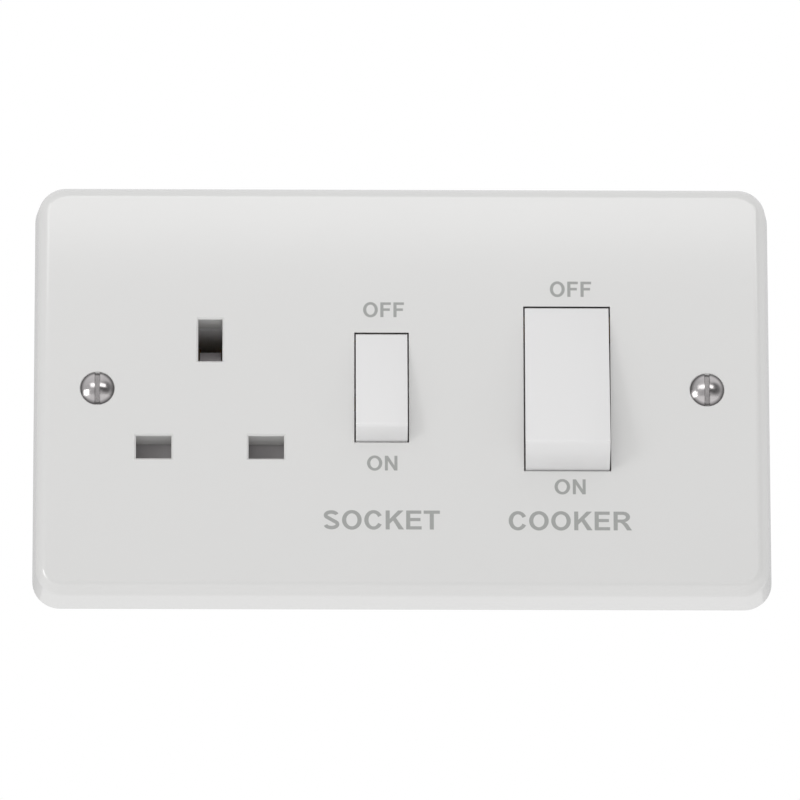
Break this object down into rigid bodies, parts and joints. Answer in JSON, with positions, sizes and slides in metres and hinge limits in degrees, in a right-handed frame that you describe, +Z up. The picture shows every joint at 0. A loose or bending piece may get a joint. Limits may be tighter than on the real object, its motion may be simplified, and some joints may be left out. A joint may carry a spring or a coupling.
{
  "type": "cooker control unit",
  "caption": "White two-gang wall plate with a switched three-pin socket and a large double-pole rocker switch for a cooker, on a rear housing with brass contacts and cable clamps.",
  "frame": {"origin": "middle of the plate's rear rim, on the wall plane, midway between the two fixing screws", "axes": "+Z up, +X to the right seen from the front, the front faces -Y and the wall side is +Y"},
  "size_m": [0.146, 0.0367, 0.086],
  "materials": {
    "plate_white": "gloss",
    "rocker_white": "gloss",
    "housing_plastic": "satin",
    "shutter_plastic": "satin",
    "spring_steel": "satin",
    "contact_brass": "satin",
    "contact_silver": "satin",
    "screw_nickel": "polished",
    "screw_steel": "satin"
  },
  "bodies": {
    "unit_body": {"front_plate": "plate_white", "rear_housing": "housing_plastic", "shutter_spring": "spring_steel", "neutral_pin_contact": "contact_brass", "live_pin_contact": "contact_brass", "earth_pin_contact": "contact_brass", "live_busbar": "contact_brass", "neutral_busbar": "contact_brass", "neutral_link": "contact_brass", "earth_strap": "contact_brass", "live_load_contact": "contact_brass", "neutral_load_contact": "contact_brass", "socket_load_contact": "contact_brass", "supply_live_terminal": "contact_brass", "supply_neutral_terminal": "contact_brass", "load_live_terminal": "contact_brass", "load_neutral_terminal": "contact_brass", "earth_terminal": "contact_brass", "live_fixed_tip": "contact_silver", "neutral_fixed_tip": "contact_silver", "socket_fixed_tip": "contact_silver", "fixing_screws": "screw_nickel", "housing_screws": "screw_steel", "terminal_screws": "screw_steel"},
    "cooker_rocker_body": {"cooker_rocker": "rocker_white", "live_plunger_spring": "spring_steel", "neutral_plunger_spring": "spring_steel"},
    "live_plunger_body": {"live_plunger": "shutter_plastic"},
    "neutral_plunger_body": {"neutral_plunger": "shutter_plastic"},
    "live_bar_body": {"live_contact_bar": "contact_brass", "live_moving_tip": "contact_silver"},
    "neutral_bar_body": {"neutral_contact_bar": "contact_brass", "neutral_moving_tip": "contact_silver"},
    "socket_rocker_body": {"socket_rocker": "rocker_white", "socket_plunger_spring": "spring_steel"},
    "socket_plunger_body": {"socket_plunger": "shutter_plastic"},
    "socket_bar_body": {"socket_contact_bar": "contact_brass", "socket_moving_tip": "contact_silver"},
    "shutter_body": {"shutter": "shutter_plastic"}
  },
  "joints": [
    {"name": "cooker_rocker_hinge", "type": "hinge", "parent": "unit_body", "child": "cooker_rocker_body", "pos_m": [0.0326, -0.0034, 0.00015], "axis": [1, 0, 0], "range_deg": [0, 24.4]},
    {"name": "socket_rocker_hinge", "type": "hinge", "parent": "unit_body", "child": "socket_rocker_body", "pos_m": [-0.0041, -0.0053, 0.0003], "axis": [1, 0, 0], "range_deg": [0, 22]},
    {"name": "live_bar_hinge", "type": "hinge", "parent": "unit_body", "child": "live_bar_body", "pos_m": [0.0284, 0.01485, 0.00015], "axis": [1, 0, 0], "range_deg": [-20, 0]},
    {"name": "neutral_bar_hinge", "type": "hinge", "parent": "unit_body", "child": "neutral_bar_body", "pos_m": [0.0368, 0.01485, 0.00015], "axis": [1, 0, 0], "range_deg": [-20, 0]},
    {"name": "socket_bar_hinge", "type": "hinge", "parent": "unit_body", "child": "socket_bar_body", "pos_m": [-0.0041, 0.01115, 0.0003], "axis": [1, 0, 0], "range_deg": [-20, 0]},
    {"name": "shutter_slide", "type": "slide", "parent": "unit_body", "child": "shutter_body", "axis": [0, 0, -1], "range_m": [0, 0.006], "stiffness_N_per_m": 150, "deforming": ["shutter_spring"]},
    {"name": "live_plunger_slide", "type": "slide", "parent": "cooker_rocker_body", "child": "live_plunger_body", "axis": [0, -0.9774, 0.2113], "range_m": [0, 0.0014], "stiffness_N_per_m": 250, "deforming": ["live_plunger_spring"]},
    {"name": "neutral_plunger_slide", "type": "slide", "parent": "cooker_rocker_body", "child": "neutral_plunger_body", "axis": [0, -0.9774, 0.2113], "range_m": [0, 0.0014], "stiffness_N_per_m": 250, "deforming": ["neutral_plunger_spring"]},
    {"name": "socket_plunger_slide", "type": "slide", "parent": "socket_rocker_body", "child": "socket_plunger_body", "axis": [0, -0.9816, 0.1908], "range_m": [0, 0.0014], "stiffness_N_per_m": 250, "deforming": ["socket_plunger_spring"]}
  ],
  "couplings": [
    {"joint": "live_bar_hinge", "follows": "cooker_rocker_hinge", "ratio": -0.81967},
    {"joint": "neutral_bar_hinge", "follows": "cooker_rocker_hinge", "ratio": -0.81967},
    {"joint": "socket_bar_hinge", "follows": "socket_rocker_hinge", "ratio": -0.90909}
  ]
}
